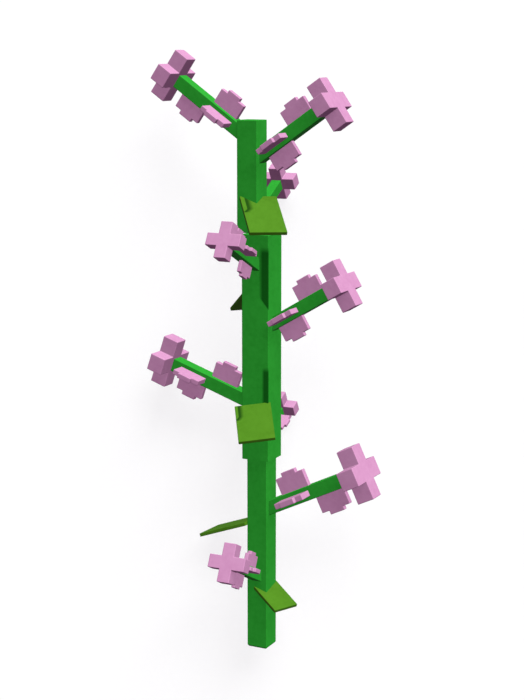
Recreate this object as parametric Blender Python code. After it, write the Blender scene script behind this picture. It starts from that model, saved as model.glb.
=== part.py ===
# A block-style lilac sprig, cut and lying down: a square stem of three bars, nine side branches that
# each carry a plus-shaped blossom and three petal plates, and five leaf plates.
#
# The sprig is drawn standing, stem along Z and front towards -Y, in millimetres and degrees. Its root
# empty then lays it on the blossoms that it rests on, with the stem along +Y and the floor at Z = 0.

import bmesh
import bpy
from collections import namedtuple
from math import cos, radians, tan
from mathutils import Matrix, Vector
from mathutils.geometry import intersect_point_tri

MM = 0.001
GAP = 0.3  # clearance between two pieces that touch

# Stem: three square bars, end on end. The upper bar is set off to the left.
Bar = namedtuple("Bar", "width bottom top shift")
STEM = {
    "lower": Bar(11.2, 0, 102.4, 0),
    "middle": Bar(15, 102.4, 218, 0),
    "upper": Bar(11.2, 218, 274, -5.5),
}
CUT_END_CHAMFER = 0.8
STEM_TENON = 4
STEM_TENON_DEPTH = 5

# A full-size spray. Each is drawn to the size in its row, apart from the width of its branch.
BRANCH_TENON = 4
BRANCH_TENON_DEPTH = 2.5
BLOSSOM_SPAN = 25.6
BLOSSOM_ARM = 8.7
BLOSSOM_DEPTH = 8.5
PETAL_STEP = 1.9  # a petal is 8 steps long and 4 high, with a tab of 4 by 1 on its outer edge
PETAL_THICKNESS = 2.7

# One row a spray: the bar that carries it, where it heads (0 is right, 90 is back), its size, the
# width of its branch, the height of its axis on the bar's centre line, its rise, the length from
# there to the blossom, and how far out its upper, under and side petals start. The side petal is on
# the branch's left as seen from the stem, or on its right where the row says -1.
Spray = namedtuple("Spray", "bar heading size width height rise length upper under beside side")
SPRAYS = {
    "left_top": Spray("upper", 180, 1.0, 6.9, 264, 35, 50.4, 12.5, 29.4, 12.5, 1),
    "right_top": Spray("upper", 0, 1.0, 6.9, 252.8, 34.5, 47.5, 27.3, 9.9, 10.2, -1),
    "right_middle": Spray("middle", 0, 0.98, 6.7, 168.2, 30.5, 46.8, 26.8, 9.9, 10.2, -1),
    "left_middle": Spray("middle", 180, 1.01, 6.9, 129, 19, 53.9, 15.7, 33.1, 32.9, 1),
    "right_bottom": Spray("lower", 0, 1.1, 7.2, 73.5, 25.7, 55.7, 15.4, 33.3, 15.1, -1),
    "front_upper": Spray("middle", -91.4, 0.73, 5.8, 199, 26.5, 37.8, 25, 11.7, 23.7, 1),
    "front_lower": Spray("lower", -89, 0.78, 5.5, 37, 26.5, 38.5, 11.8, 23.2, 22.9, 1),
    "back_upper": Spray("upper", 91.2, 0.73, 5.2, 223, 29.4, 34.5, 8.2, 8, 10, 1),
    "back_lower": Spray("middle", 90, 0.66, 4.8, 111.5, 27.5, 23.5, 13.2, 9.5, 9.5, -1),
}

# Leaves: the bar that carries each, the middle of its root edge, where it heads, how far it slopes
# down, its tilt about its own length, and its length and width.
Leaf = namedtuple("Leaf", "bar root heading slope tilt length width")
LEAVES = {
    "upper": Leaf("upper", (-2.5, 0.5, 234.6), -52, 29.5, -1, 30.7, 18.8),
    "middle": Leaf("middle", (-0.2, -9.6, 130.4), -58, 26, 7.5, 28.1, 18.3),
    "lower": Leaf("lower", (0, 1.5, 32.9), -28.5, 21.5, 3, 22, 14),
    "left": Leaf("lower", (-5.8, 3.3, 65.8), 180, 20, 2, 28.5, 20.5),
    "back": Leaf("middle", (-1.7, 3.9, 185.5), 141, 32, 0, 18, 22),
}
LEAF_THICKNESS = 1.8

UNDERNEATH = Vector((-0.45, 0.89, 0))  # the side that the sprig is laid on: its back, a little left


def clear_scene():
    for thing in list(bpy.data.objects):
        bpy.data.objects.remove(thing, do_unlink=True)


def make_material(name, colour, roughness):
    material = bpy.data.materials.new(name)
    material.use_nodes = True
    shader = material.node_tree.nodes["Principled BSDF"]
    shader.inputs["Base Color"].default_value = (*colour, 1)
    shader.inputs["Roughness"].default_value = roughness
    shader.inputs["Metallic"].default_value = 0
    return material


def stem_green():
    return make_material("stem_green", (0.030, 0.330, 0.045), 0.6)


def blossom_pink():
    return make_material("blossom_pink", (0.640, 0.330, 0.560), 0.6)


def leaf_olive():
    return make_material("leaf_olive", (0.130, 0.350, 0.030), 0.6)


def place(thing, parent, spot, turn):
    bpy.context.collection.objects.link(thing)
    thing.parent = parent
    thing.location = Vector(spot) * MM
    thing.rotation_euler = [radians(angle) for angle in turn]
    return thing


def add_empty(name, parent=None, spot=(0, 0, 0), turn=(0, 0, 0)):
    return place(bpy.data.objects.new(name, None), parent, spot, turn)


def add_piece(name, rings, material, parent, spot=(0, 0, 0), turn=(0, 0, 0)):
    piece = bpy.data.objects.new(name, loft(name, rings))
    piece.data.materials.append(material)
    return place(piece, parent, spot, turn)


def add_cutter(name, rings, parent, spot=(0, 0, 0), turn=(0, 0, 0)):
    cutter = place(bpy.data.objects.new(name, loft(name, rings)), parent, spot, turn)
    cutter.hide_render = True
    cutter.display_type = "WIRE"
    return cutter


def cut(piece, cutter):
    modifier = piece.modifiers.new(cutter.name, "BOOLEAN")
    modifier.operation = "DIFFERENCE"
    modifier.solver = "EXACT"
    modifier.object = cutter


def loft(name, rings):
    """A closed mesh through rings of equal length, with the first and the last ring filled."""
    shape = bmesh.new()
    loops = [[shape.verts.new(Vector(point) * MM) for point in ring] for ring in rings]
    shape.faces.new(loops[0])
    shape.faces.new(loops[-1])
    for near, far in zip(loops, loops[1:]):
        for i in range(len(near)):
            shape.faces.new((near[i - 1], near[i], far[i], far[i - 1]))
    bmesh.ops.recalc_face_normals(shape, faces=shape.faces)
    mesh = bpy.data.meshes.new(name)
    shape.to_mesh(mesh)
    shape.free()
    return mesh


def square(width, height, shift=0, slope=0):
    """Corners of a square across the Z axis, moved along X by shift and up by slope times X."""
    half = width / 2
    corners = ((-half, -half), (half, -half), (half, half), (-half, half))
    return [(x + shift, y, height + slope * x) for x, y in corners]


# Stem

def shared_middle(below, above):
    """The middle of the width that two bars, one on the other, have in common."""
    left = max(bar.shift - bar.width / 2 for bar in (below, above))
    right = min(bar.shift + bar.width / 2 for bar in (below, above))
    return (left + right) / 2


def add_stem(root):
    bars = {}
    names = list(STEM)
    for name, name_above in zip(names, names[1:] + [None]):
        bar = STEM[name]
        rings = []
        if bar.bottom == 0:
            rings.append(square(bar.width - 2 * CUT_END_CHAMFER, 0, bar.shift))
            rings.append(square(bar.width, CUT_END_CHAMFER, bar.shift))
        else:
            rings.append(square(bar.width, bar.bottom, bar.shift))
        if name_above:
            middle = shared_middle(bar, STEM[name_above])
            rings.append(square(bar.width, bar.top - GAP, bar.shift))
            rings.append(square(STEM_TENON, bar.top - GAP, middle))
            rings.append(square(STEM_TENON, bar.top + STEM_TENON_DEPTH, middle))
        else:
            rings.append(square(bar.width, bar.top, bar.shift))
        bars[name] = add_piece("stem_" + name, rings, stem_green(), root)
    for name, name_above in zip(names, names[1:]):
        middle = shared_middle(STEM[name], STEM[name_above])
        reach = (STEM[name].top - 1, STEM[name].top + STEM_TENON_DEPTH + GAP)
        rings = [square(STEM_TENON + 2 * GAP, height, middle) for height in reach]
        cut(bars[name_above], add_cutter("stem_socket_" + name, rings, root))
    return bars


# Sprays. In a spray's own frame Z runs out along the branch, X to its under side and Y to its left.

def add_notches(root):
    """Cutters in the outline of each bar and a gap round it, for what stands against the bar."""
    notches = {}
    for name, bar in STEM.items():
        rings = [square(bar.width + 2 * GAP, height, bar.shift) for height in (bar.bottom, bar.top)]
        notches[name] = add_cutter("notch_" + name, rings, root)
    return notches


def add_spray(name, spray, bars, notches, root):
    bar = STEM[spray.bar]
    turn = (0, 90 - spray.rise, spray.heading)
    frame = add_empty("spray_" + name, root, (bar.shift, 0, spray.height), turn)
    blossom = add_blossom(name, spray, frame)
    add_branch(name, spray, bars[spray.bar], blossom, frame)
    side = "left" if spray.side > 0 else "right"
    # The upper petal leans back towards the bar, so one that starts near it is notched round it.
    upper = add_petal(name + "_upper", spray, spray.upper, 180, frame)
    cut(upper, notches[spray.bar])
    add_petal(name + "_under", spray, spray.under, 0, frame)
    add_petal(name + "_" + side, spray, spray.beside, 90 * spray.side, frame)


def add_branch(name, spray, bar, blossom, frame):
    """A square rod, its root cut flush with the bar, with a tenon into the bar and the blossom."""
    face = STEM[spray.bar].width / 2
    rise = radians(spray.rise)
    root = (face + GAP) / cos(rise)
    slope = -tan(rise)
    width = spray.width
    tenon = BRANCH_TENON * spray.size
    depth = BRANCH_TENON_DEPTH * spray.size
    end = spray.length - GAP
    rings = [square(tenon, root - depth, slope=slope), square(tenon, root, slope=slope)]
    rings += [square(width, root, slope=slope), square(width, end)]
    rings += [square(tenon, end), square(tenon, end + depth)]
    add_piece("branch_" + name, rings, stem_green(), frame)

    hole = tenon + 2 * GAP
    rings = [square(hole, root - depth - GAP, slope=slope), square(hole, root + 1, slope=slope)]
    cut(bar, add_cutter("bar_socket_" + name, rings, frame))
    rings = [square(hole, end - 1), square(hole, end + depth + GAP)]
    cut(blossom, add_cutter("blossom_socket_" + name, rings, frame))


def add_blossom(name, spray, frame):
    """A plus of four square-ended arms, its flat back on the end of the branch."""
    arm = BLOSSOM_ARM * spray.size / 2
    tip = BLOSSOM_SPAN * spray.size / 2
    quarter = [(tip, -arm), (tip, arm), (arm, arm)]
    outline = list(quarter)
    for _ in range(3):
        quarter = [(-y, x) for x, y in quarter]
        outline.extend(quarter)
    rings = [[(x, y, z) for x, y in outline] for z in (0, BLOSSOM_DEPTH * spray.size)]
    return add_piece("blossom_" + name, rings, blossom_pink(), frame, (0, 0, spray.length))


def add_petal(name, spray, start, angle, frame):
    """A plate standing on the branch, long edge down, turned by angle from its under side."""
    step = PETAL_STEP * spray.size
    low = spray.width / 2 + GAP
    outline = ((0, 0), (8, 0), (8, 4), (6, 4), (6, 5), (2, 5), (2, 4), (0, 4))
    half = PETAL_THICKNESS * spray.size / 2
    rings = [[(low + step * v, y, step * u) for u, v in outline] for y in (-half, half)]
    return add_piece("petal_" + name, rings, blossom_pink(), frame, (0, 0, start), (0, 0, angle))


# Leaves

def add_leaves(notches, root):
    for name, leaf in LEAVES.items():
        half = leaf.width / 2
        corners = ((-half, 0), (half, 0), (half, LEAF_THICKNESS), (-half, LEAF_THICKNESS))
        rings = [[(x, y, z) for y, z in corners] for x in (0, leaf.length)]
        turn = (leaf.tilt, leaf.slope, leaf.heading)
        plate = add_piece("leaf_" + name, rings, leaf_olive(), root, leaf.root, turn)
        cut(plate, notches[leaf.bar])


# Laying down

def triangles(piece):
    """The piece's triangles as the viewport shows it, in world coordinates."""
    shape = bmesh.new()
    shape.from_object(piece, bpy.context.evaluated_depsgraph_get())
    shape.transform(piece.matrix_world)
    bmesh.ops.triangulate(shape, faces=shape.faces)
    corners = [[vert.co.copy() for vert in face.verts] for face in shape.faces]
    shape.free()
    return corners


def centre_of_mass(faces):
    volume = 0
    moment = Vector()
    for a, b, c in faces:
        share = a.dot(b.cross(c))
        volume += share
        moment += share * (a + b + c) / 4
    return moment / volume


def resting_direction(faces):
    """Outward normal of the hull face nearest to UNDERNEATH that the sprig rests on unheld."""
    centre = centre_of_mass(faces)
    hull = bmesh.new()
    for corner in {corner.freeze() for face in faces for corner in face}:
        hull.verts.new(corner)
    bmesh.ops.convex_hull(hull, input=hull.verts, use_existing_faces=False)
    normals = []
    for face in hull.faces:
        face.normal_update()
        corners = [vert.co for vert in face.verts]
        outward = face.normal if face.normal.dot(corners[0] - centre) > 0 else -face.normal
        if intersect_point_tri(centre, *corners):
            normals.append(outward.copy())
    hull.free()
    return max(normals, key=UNDERNEATH.dot)


def lay_down(root):
    bpy.context.view_layer.update()
    pieces = [thing for thing in bpy.data.objects if thing.type == "MESH" and not thing.hide_render]
    faces = [face for piece in pieces for face in triangles(piece)]
    up = -resting_direction(faces)
    stem = Vector((0, 0, 1))
    along = (stem - up * stem.dot(up)).normalized()
    turn = Matrix((along.cross(up), along, up))
    laid = [turn @ corner for face in faces for corner in face]
    low = [min(corner[axis] for corner in laid) for axis in range(3)]
    high = [max(corner[axis] for corner in laid) for axis in range(3)]
    middle = Vector(((low[0] + high[0]) / 2, (low[1] + high[1]) / 2, low[2]))
    root.matrix_world = Matrix.Translation(-middle) @ turn.to_4x4()


def main():
    clear_scene()
    root = add_empty("sprig")
    bars = add_stem(root)
    notches = add_notches(root)
    for name, spray in SPRAYS.items():
        add_spray(name, spray, bars, notches, root)
    add_leaves(notches, root)
    lay_down(root)


main()
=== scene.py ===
# Looks of the block-style lilac sprig: every CAD piece is seated on its neighbour, gets softened
# edges and a painted finish, and the sprig lies on a pale table under soft studio light.

import math

import bmesh
import bpy
import numpy as np
from mathutils import Matrix, Vector
from mathutils.bvhtree import BVHTree


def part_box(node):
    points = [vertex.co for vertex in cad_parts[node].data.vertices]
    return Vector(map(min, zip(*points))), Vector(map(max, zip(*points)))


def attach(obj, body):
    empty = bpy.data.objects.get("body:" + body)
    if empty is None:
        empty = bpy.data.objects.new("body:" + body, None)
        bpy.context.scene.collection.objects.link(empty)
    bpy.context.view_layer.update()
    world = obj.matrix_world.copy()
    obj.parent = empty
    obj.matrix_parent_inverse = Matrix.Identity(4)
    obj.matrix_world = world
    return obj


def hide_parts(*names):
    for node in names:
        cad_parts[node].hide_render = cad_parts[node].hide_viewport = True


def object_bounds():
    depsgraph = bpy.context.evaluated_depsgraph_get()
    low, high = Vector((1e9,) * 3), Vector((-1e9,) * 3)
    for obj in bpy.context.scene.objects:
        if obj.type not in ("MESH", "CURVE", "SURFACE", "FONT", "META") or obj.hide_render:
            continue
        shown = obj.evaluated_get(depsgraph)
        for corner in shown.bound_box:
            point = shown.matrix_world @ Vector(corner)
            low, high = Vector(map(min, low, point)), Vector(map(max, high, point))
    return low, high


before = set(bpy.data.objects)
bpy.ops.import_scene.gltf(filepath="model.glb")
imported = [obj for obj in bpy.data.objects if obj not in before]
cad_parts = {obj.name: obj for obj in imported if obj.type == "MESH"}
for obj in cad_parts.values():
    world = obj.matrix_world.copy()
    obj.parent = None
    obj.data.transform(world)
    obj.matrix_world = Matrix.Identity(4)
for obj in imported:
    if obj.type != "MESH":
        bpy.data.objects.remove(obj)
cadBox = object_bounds()
mm = 0.001
print("frame loaded:", len(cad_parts), "pieces")


# Shader nodes as plain expressions

class Value:  # a number, colour or vector that varies over the surface
    def __init__(self, tree, socket):
        self.tree = tree
        self.socket = socket

    def maths(self, operation, first, second=0.0):
        return self.tree.add("ShaderNodeMath", {"operation": operation}, {0: first, 1: second})

    def __add__(self, other):
        return self.maths("ADD", self, other)

    def __radd__(self, other):
        return self.maths("ADD", other, self)

    def __sub__(self, other):
        return self.maths("SUBTRACT", self, other)

    def __rsub__(self, other):
        return self.maths("SUBTRACT", other, self)

    def __mul__(self, other):
        return self.maths("MULTIPLY", self, other)

    def __rmul__(self, other):
        return self.maths("MULTIPLY", other, self)


class Finish:  # one material, with its shader and the nodes that feed it
    def __init__(self, name):
        self.material = bpy.data.materials.new(name)
        self.material.use_nodes = True
        self.nodes = self.material.node_tree.nodes
        self.shader = self.nodes["Principled BSDF"]

    def feed(self, socket, value):
        if isinstance(value, Value):
            self.material.node_tree.links.new(value.socket, socket)
        else:
            socket.default_value = value

    def add(self, kind, settings=None, inputs=None, output=0):
        node = self.nodes.new(kind)
        for name, value in (settings or {}).items():
            setattr(node, name, value)
        for name, value in (inputs or {}).items():
            self.feed(node.inputs[name], value)
        return Value(self, node.outputs[output])

    def place(self):
        return self.add("ShaderNodeTexCoord", output="Object")

    def noise(self, size, detail=2.0, roughness=0.5, stretch=(1, 1, 1)):
        spot = self.add("ShaderNodeMapping", None, {"Vector": self.place(), "Scale": stretch})
        inputs = {"Vector": spot, "Scale": 1 / size, "Detail": detail, "Roughness": roughness}
        return self.add("ShaderNodeTexNoise", None, inputs)

    def along(self, direction, start):  # how far a spot lies in this direction from the start
        inputs = {0: self.place(), 1: direction}
        return self.add("ShaderNodeVectorMath", {"operation": "DOT_PRODUCT"}, inputs, "Value") - start

    def between(self, value, low, high, start=0.0, end=1.0):
        inputs = {0: value, 1: low, 2: high, 3: start, 4: end}
        return self.add("ShaderNodeMapRange", {"clamp": True}, inputs)

    def mix(self, share, first, second):
        inputs = {0: share, 6: first, 7: second}
        return self.add("ShaderNodeMix", {"data_type": "RGBA"}, inputs, output=2)

    def set(self, **inputs):
        for name, value in inputs.items():
            self.feed(self.shader.inputs[name.replace("_", " ")], value)


# Painted finish. Colours are linear, and a patch, a mottle and a grain are each a size of noise.

paint = {
    "stem_green": {
        "colour": (0.0200, 0.294, 0.0235),
        "dark": (0.0155, 0.259, 0.0185),
        "light": (0.0260, 0.334, 0.0305),
    },
    "blossom_pink": {
        "colour": (0.490, 0.235, 0.402),
        "dark": (0.455, 0.207, 0.369),
        "light": (0.525, 0.265, 0.435),
    },
    "leaf_olive": {
        "colour": (0.058, 0.179, 0.0090),
        "dark": (0.049, 0.157, 0.0065),
        "light": (0.067, 0.200, 0.0120),
    },
}
brush = {
    "patch": 9 * mm,
    "mottle": 2.4 * mm,
    "grain": 0.55 * mm,
    "darkShare": 0.75,
    "lightShare": 0.45,
    "roughness": 0.70,
    "grainRoughness": 0.30,
    "mottleRoughness": 0.08,
    "bumpStrength": 0.18,
    "bumpHeight": 0.15 * mm,
    "shine": 0.06,
}


# Painted shade: dark bands along one side of a piece's broad face, where the middle stem bar and the two
# front leaves are painted darker as if in shadow, in millimetres: where a band starts and ends along the
# face, how softly it ends, how far its sharp side keeps off the face's edge and where it bends to that edge,
# and how wide it is at full strength and at its faded side. The lean is how far the start runs on for each
# millimetre in from the edge.
shadeBands = {
    "stem_middle": [
        {"start": 77.5, "end": 106.5, "soft": 3, "off": 0, "bend": 0, "full": 3.4, "faded": 5.4, "lean": 1.2},
        {"start": 27.5, "end": 46, "soft": 2.5, "off": 0, "bend": 0, "full": 2.4, "faded": 3.8, "lean": 0},
    ],
    "leaf_upper": [
        {"start": -2, "end": 13.5, "soft": 0.6, "off": 2.1, "bend": 11, "full": 1.1, "faded": 3.4, "lean": 0},
    ],
    "leaf_middle": [
        {"start": -2, "end": 11.5, "soft": 0.6, "off": 1.5, "bend": 9, "full": 0.9, "faded": 2.8, "lean": 0},
    ],
}
# Colours of the painted shade on the stem bar and on the leaves
paintedShade = {"stem_green": (0.0030, 0.095, 0.0050, 1), "leaf_olive": (0.010, 0.055, 0.0020, 1)}
shadeBandEdge = {"sharp": 0.15 * mm, "start": mm, "below": -0.5 * mm, "surface": -0.2 * mm}


# Where a piece's broad face is painted darker as shade, from 0 to 1
def shadeBandMask(finish, shadeBand, face):
    size = {key: value if key == "lean" else value * mm for key, value in shadeBand.items()}
    out = finish.along(face["long"], face["foot"])
    across = finish.along(face["across"], face["side"])
    bend = finish.between(out, size["bend"], size["end"], size["off"], 0) if size["off"] else 0.0
    inside = across - bend
    began = out - across * size["lean"]
    mask = finish.between(inside, -shadeBandEdge["sharp"], shadeBandEdge["sharp"]) if size["off"] else 1.0
    mask = mask * finish.between(inside, size["full"], size["faded"], 1, 0)
    mask = mask * finish.between(began, size["start"], size["start"] + shadeBandEdge["start"])
    mask = mask * finish.between(out, size["end"], size["end"] + size["soft"], 1, 0)
    depth = finish.along(face["normal"], face["level"])
    return mask * finish.between(depth, shadeBandEdge["below"], shadeBandEdge["surface"])


def paintedFinish(name, marked="", face=None):
    tones = {key: (*value, 1) for key, value in paint[name].items()}
    finish = Finish(name + "_on_" + marked if marked else name)
    patch = finish.between(finish.noise(brush["patch"], 2.0, 0.55), 0.36, 0.64)
    mottle = finish.between(finish.noise(brush["mottle"], 3.0, 0.6), 0.35, 0.65)
    grain = finish.noise(brush["grain"], 3.0, 0.65)
    shade = finish.mix(patch * brush["darkShare"], tones["colour"], tones["dark"])
    shade = finish.mix(mottle * brush["lightShare"], shade, tones["light"])
    # Painted shade: darkens the bands on the stem bar and the leaves
    for shadeBand in shadeBands.get(marked, ()):
        shade = finish.mix(shadeBandMask(finish, shadeBand, face), shade, paintedShade[name])
    rough = brush["roughness"] + (grain - 0.5) * brush["grainRoughness"]
    rough = rough + (mottle - 0.5) * brush["mottleRoughness"]
    height = mottle * 0.5 + grain
    inputs = {"Strength": brush["bumpStrength"], "Distance": brush["bumpHeight"], "Height": height}
    bump = finish.add("ShaderNodeBump", None, inputs)
    finish.set(Base_Color=shade, Roughness=rough, Normal=bump, Specular_IOR_Level=brush["shine"])
    return finish.material


# Pieces. Each takes the shape of its CAD node, closed up to the piece that carries it. A face is moved
# on when more than this share of it has a neighbour within reach; no corner goes further than furthest.

seat = {"reach": 0.45 * mm, "sink": 0.45 * mm, "furthest": 0.9 * mm, "share": 0.6}
edge = {"radius": 0.3 * mm, "segments": 3, "sharper": math.radians(25), "crease": math.radians(45)}


def readNode(node):
    shape = bmesh.new()
    shape.from_mesh(node.data)
    bmesh.ops.remove_doubles(shape, verts=shape.verts, dist=0.001 * mm)
    bmesh.ops.dissolve_limit(shape, angle_limit=math.radians(0.5), verts=shape.verts, edges=shape.edges)
    shape.normal_update()
    return shape


def planeGroups(shape):
    groups = {}
    for face in shape.faces:
        middle = face.normal.dot(face.calc_center_median())
        key = (*(round(x, 2) for x in face.normal), round(middle / (0.05 * mm)))
        groups.setdefault(key, []).append(face)
    return groups.values()


def broadFace(node):  # the widest face that is turned up, and what its painted shade bands are measured from
    shape = readNode(node)
    faces = max(planeGroups(shape), key=lambda group: group[0].normal.z * sum(f.calc_area() for f in group))
    corners = [vert.co.copy() for face in faces for vert in face.verts]
    sides = [side.verts[1].co - side.verts[0].co for face in faces for side in face.edges]
    normal = faces[0].normal.copy()
    shape.free()
    long = max(sides, key=lambda side: side.length).normalized()
    rises = node.name.startswith("stem")  # a stem's painted shade bands are on its right, a leaf's on its left
    if (long.y > 0) != rises:
        long = -long
    across = normal.cross(long)
    if (across.x < 0) != rises:
        across = -across
    foot, side = (min(corner.dot(way) for corner in corners) for way in (long, across))
    level = normal.dot(corners[0])
    return {"normal": normal, "long": long, "across": across, "level": level, "foot": foot, "side": side}


samples = ((1 / 3, 1 / 3), (0.6, 0.2), (0.2, 0.6), (0.2, 0.2))  # spots tried in each triangle


def touching(faces, others):  # the share of these flat faces that has another piece just in front
    hit = 0
    total = 0
    for face in faces:
        corners = [vert.co for vert in face.verts]
        for i in range(1, len(corners) - 1):
            a, b, c = corners[0], corners[i], corners[i + 1]
            area = (b - a).cross(c - a).length
            for u, v in samples:
                spot = a + u * (b - a) + v * (c - a)
                total += area
                if any(other.ray_cast(spot, face.normal, seat["reach"])[0] for other in others):
                    hit += area
    return hit / total


def seated(shape, others):  # moves every touching face on, in the planes of the faces round it
    moved = {}
    for group in planeGroups(shape):
        step = seat["sink"] if touching(group, others) > seat["share"] else 0.0
        for face in group:
            face.tag = step > 0
            for vert in face.verts:
                moved.setdefault(vert, []).append((face.normal.copy(), step))
    for vert, planes in moved.items():
        if any(step for normal, step in planes):
            normals = np.array([normal for normal, step in planes])
            steps = np.array([step for normal, step in planes])
            way = Vector(np.linalg.lstsq(normals, steps, rcond=1e-3)[0])
            vert.co += way * min(1, seat["furthest"] / way.length)
    return shape


def softened(shape):
    edges = [e for e in shape.edges if len(e.link_faces) == 2 and e.calc_face_angle() > edge["sharper"]]
    edges = [e for e in edges if not any(face.tag for face in e.link_faces)]
    bmesh.ops.bevel(
        shape, geom=edges, offset=edge["radius"], segments=edge["segments"], profile=0.5,
        affect="EDGES", clamp_overlap=True, harden_normals=False,
    )
    for e in shape.edges:
        e.smooth = len(e.link_faces) != 2 or e.calc_face_angle() < edge["crease"]
    return shape


def addPiece(name, node, others, material):
    shape = softened(seated(readNode(node), others))
    mesh = bpy.data.meshes.new(name)
    shape.to_mesh(mesh)
    shape.free()
    mesh.shade_smooth()
    mesh.materials.append(material)
    piece = bpy.data.objects.new(name, mesh)
    bpy.context.scene.collection.objects.link(piece)
    piece.visible_diffuse = False  # keeps its colour off its neighbours
    normals = piece.modifiers.new("flat faces", "WEIGHTED_NORMAL")
    normals.weight = 100
    normals.keep_sharp = True
    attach(piece, "root")
    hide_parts(node.name)
    return piece


def slotOf(name):
    if name.startswith("leaf"):
        return "leaf_olive"
    if name.startswith(("stem", "branch")):
        return "stem_green"
    return "blossom_pink"


def addSprig():
    finishes = {name: paintedFinish(name) for name in paint}
    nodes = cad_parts
    solids = {}
    for name, node in nodes.items():
        corners = [vert.co for vert in node.data.vertices]
        solids[name] = BVHTree.FromPolygons(corners, [face.vertices for face in node.data.polygons])
    for name, node in nodes.items():
        low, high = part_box(name)
        near = []
        for other in nodes:
            otherLow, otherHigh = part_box(other)
            apart = max(max(otherLow[i] - high[i], low[i] - otherHigh[i]) for i in range(3))
            if other != name and apart < seat["reach"]:
                near.append(solids[other])
        finish = finishes[slotOf(name)]
        # Pieces with painted shade bands get a finish of their own
        if name in shadeBands:
            finish = paintedFinish(slotOf(name), name, broadFace(node))
        addPiece("painted_" + name, node, near, finish)
    print("sprig painted")


# Table, camera and light

tableTop = {
    "size": 6,
    "speck": 3 * mm,
    "tones": ((0.930, 0.958, 0.935, 1), (0.955, 0.985, 0.958, 1)),
    "roughness": 0.7,
    "speckRoughness": 0.1,
}
view = {
    "spot": (0.1210, 0.0732, 0.8195),
    "look": (-0.1519, -0.0875, -0.9845),
    "up": (-0.0288, 0.9960, -0.0841),
    "lens": 80.74,
    "sensor": 36,
}
light = {
    "from": (0.364, 0.773, 0.513),
    "key": 1.05,
    "softness": math.radians(40),
    "wash": 4.5,
    "around": 0.185,
    "tint": (1.0, 0.78, 1.0, 1),
}


def tableFinish():
    finish = Finish("table_top")
    speck = finish.noise(tableTop["speck"], 3.0, 0.6)
    rough = tableTop["roughness"] + speck * tableTop["speckRoughness"]
    finish.set(Base_Color=finish.mix(speck, *tableTop["tones"]), Roughness=rough)
    return finish.material


def addTable():
    shape = bmesh.new()
    bmesh.ops.create_grid(shape, x_segments=1, y_segments=1, size=tableTop["size"])
    mesh = bpy.data.meshes.new("table")
    shape.to_mesh(mesh)
    shape.free()
    mesh.materials.append(tableFinish())
    table = bpy.data.objects.new("table", mesh)
    bpy.context.scene.collection.objects.link(table)
    table.location.z = cadBox[0][2]
    table.visible_diffuse = False  # keeps its bounce and its shine off the sprig's dark sides
    table.visible_glossy = False


def addCamera():
    camera = bpy.data.objects.new("camera", bpy.data.cameras.new("camera"))
    bpy.context.scene.collection.objects.link(camera)
    camera.data.sensor_fit = "VERTICAL"
    camera.data.sensor_height = view["sensor"]
    camera.data.lens = view["lens"]
    camera.data.clip_end = 20
    back = -Vector(view["look"]).normalized()
    right = Vector(view["up"]).cross(back).normalized()
    turn = Matrix((right, back.cross(right), back)).transposed()
    camera.matrix_world = Matrix.Translation(view["spot"]) @ turn.to_4x4()
    bpy.context.scene.camera = camera


def addSun(name, strength, shadow):
    sun = bpy.data.objects.new(name, bpy.data.lights.new(name, "SUN"))
    bpy.context.scene.collection.objects.link(sun)
    sun.data.energy = strength
    sun.data.angle = light["softness"]
    sun.data.use_shadow = shadow
    sun.rotation_euler = Vector(light["from"]).to_track_quat("Z", "Y").to_euler()


def addLight():
    addSun("key", light["key"], True)
    addSun("wash", light["wash"], False)  # takes the edge off the key's shadows
    world = bpy.data.worlds.new("studio")
    world.use_nodes = True
    glow = world.node_tree.nodes["Background"].inputs
    glow["Color"].default_value = light["tint"]
    glow["Strength"].default_value = light["around"]
    bpy.context.scene.world = world
    bpy.context.scene.view_settings.view_transform = "Standard"


addCamera()
addSprig()
addTable()
addLight()
print("stage set")
